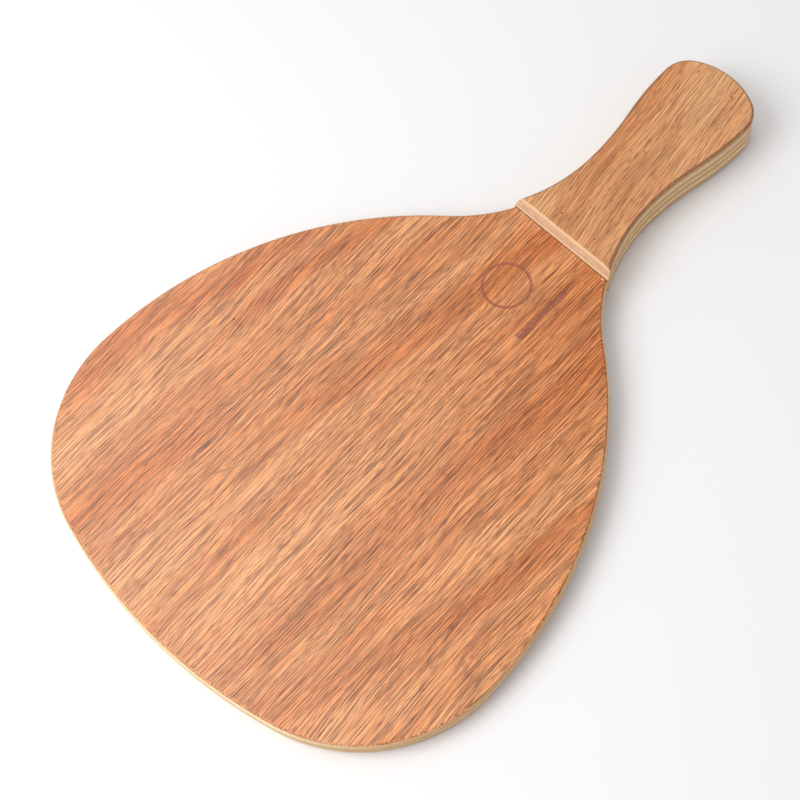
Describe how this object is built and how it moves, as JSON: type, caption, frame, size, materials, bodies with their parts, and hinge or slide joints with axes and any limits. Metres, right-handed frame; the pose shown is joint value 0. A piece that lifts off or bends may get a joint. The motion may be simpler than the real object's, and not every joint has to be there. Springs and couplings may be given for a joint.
{
  "type": "wooden racket paddle",
  "caption": "Teardrop-shaped plywood paddle for bat-and-ball games, with a flared grip built up by a thin wooden scale glued and pinned to each side.",
  "frame": {"origin": "centre of the footprint of the whole paddle, on the outer face of the back scale", "axes": "+X along the paddle from the tip of the blade to the butt of the grip, +Y across the blade, +Z out of the front face"},
  "size_m": [0.332, 0.214, 0.0188],
  "materials": {
    "blade_face_veneer": "sanded open-pored reddish tropical veneer, matt",
    "crossband": "sawn and sanded end grain of the cross plies",
    "inner_veneer": "pale sawn edge of the lengthwise plies",
    "scale_core": "sawn and sanded end grain of the scale's thick middle ply",
    "grip_face_veneer": "finely sanded reddish tropical veneer, slight satin",
    "glue": "dried wood glue, darkened by dust",
    "pin_steel": "thin drawn steel wire, dulled"
  },
  "bodies": {
    "root": {"blade_front_veneer": "blade_face_veneer", "blade_front_crossband": "crossband", "blade_core_ply": "inner_veneer", "blade_back_crossband": "crossband", "blade_back_veneer": "blade_face_veneer", "front_glue_film": "glue", "front_scale_inner_veneer": "inner_veneer", "front_scale_core": "scale_core", "front_scale_outer_veneer": "grip_face_veneer", "back_glue_film": "glue", "back_scale_inner_veneer": "inner_veneer", "back_scale_core": "scale_core", "back_scale_outer_veneer": "grip_face_veneer", "front_scale_pins": "pin_steel", "back_scale_pins": "pin_steel"}
  },
  "joints": []
}
